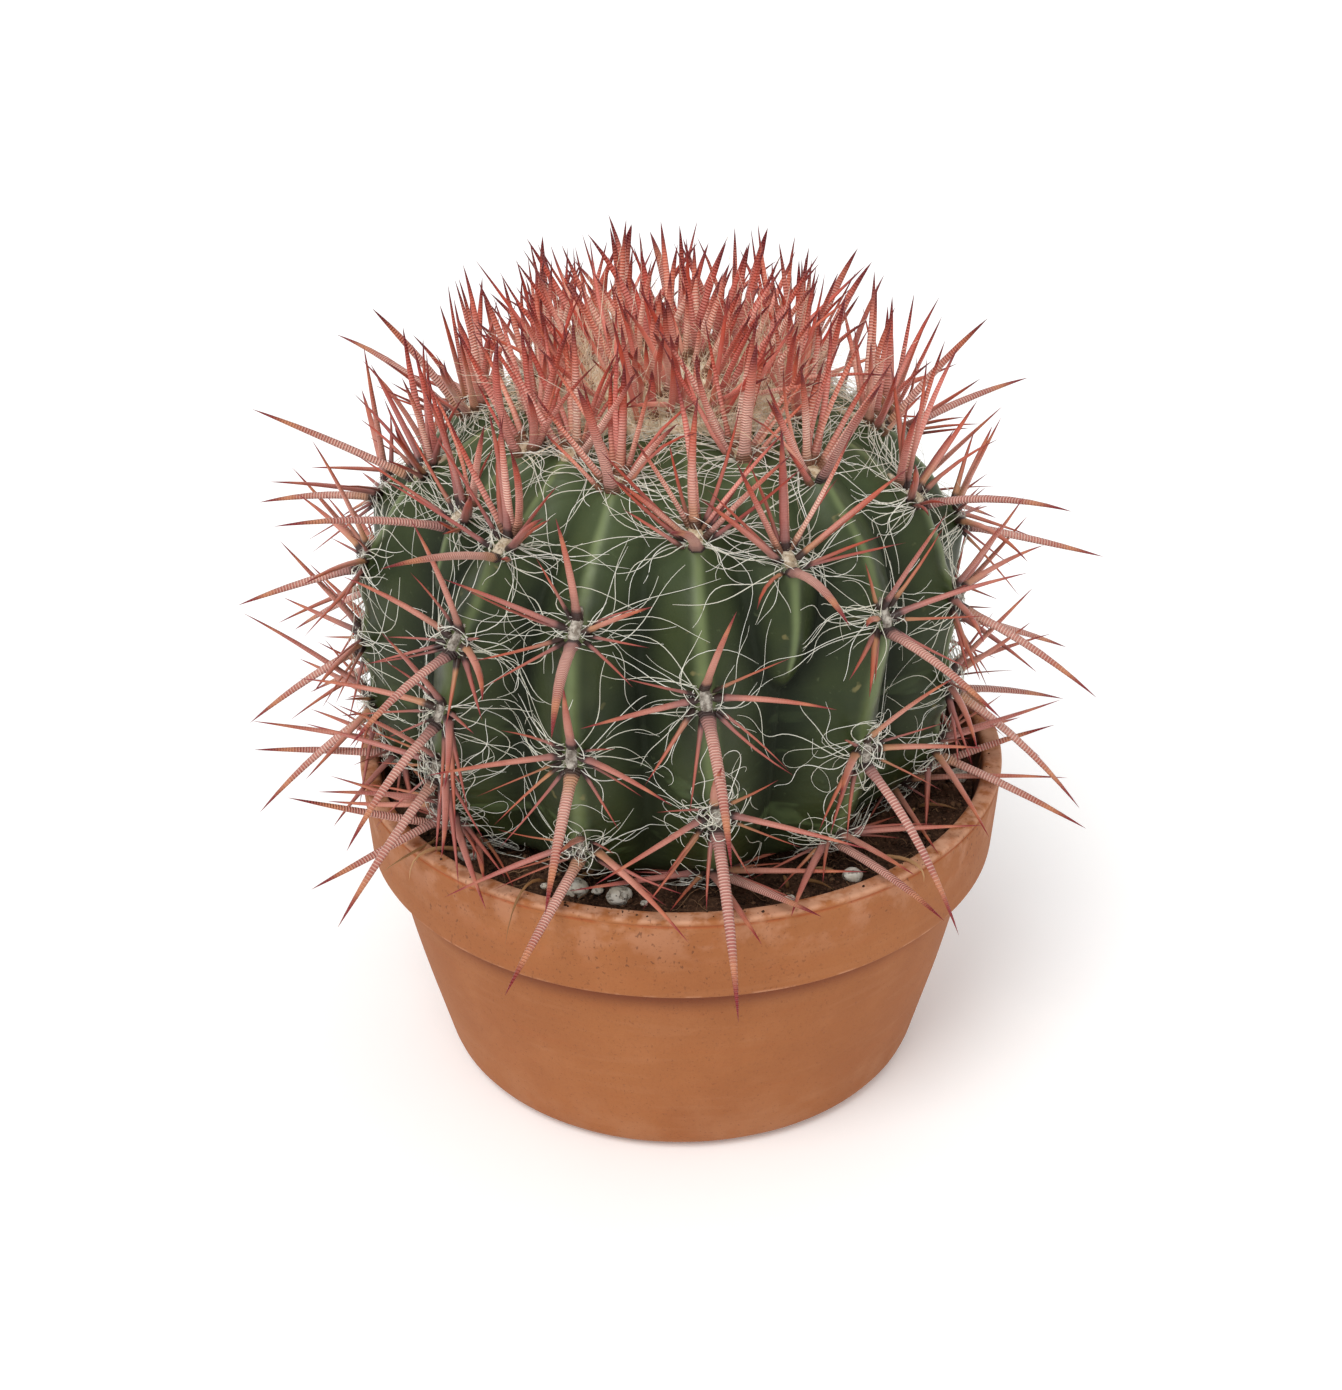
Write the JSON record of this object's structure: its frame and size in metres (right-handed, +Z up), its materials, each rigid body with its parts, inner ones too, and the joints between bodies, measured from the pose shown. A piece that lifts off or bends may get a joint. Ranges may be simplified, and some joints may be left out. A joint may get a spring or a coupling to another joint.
{
  "type": "potted round cactus",
  "caption": "Round ribbed barrel cactus with ringed red spines and a woolly crown, growing in a low terracotta pan with a rim band.",
  "frame": {"origin": "centre of the pot's foot, on the surface that it stands on", "axes": "+Z up along the pot's axis, -Y towards the side that the picture shows, +X to its right"},
  "size_m": [0.3241, 0.3238, 0.3235],
  "materials": {
    "terracotta": "matt unglazed clay",
    "soil": "dark fibrous potting mix",
    "pumice": "rough pale pumice",
    "cactus_green": "waxy green skin",
    "areole_felt": "short grey to tan felt",
    "spine_red": "hard ringed spines, satin",
    "bristle_white": "fine white bristles",
    "crown_wool": "matted tan wool"
  },
  "bodies": {
    "root": {"pot": "terracotta", "soil": "soil", "pebble_1": "pumice", "pebble_2": "pumice", "pebble_3": "pumice", "pebble_4": "pumice", "pebble_5": "pumice", "pebble_6": "pumice", "pebble_7": "pumice", "pebble_8": "pumice", "pebble_9": "pumice", "pebble_10": "pumice", "cactus_stem": "cactus_green", "crown": "crown_wool"}
  },
  "joints": []
}
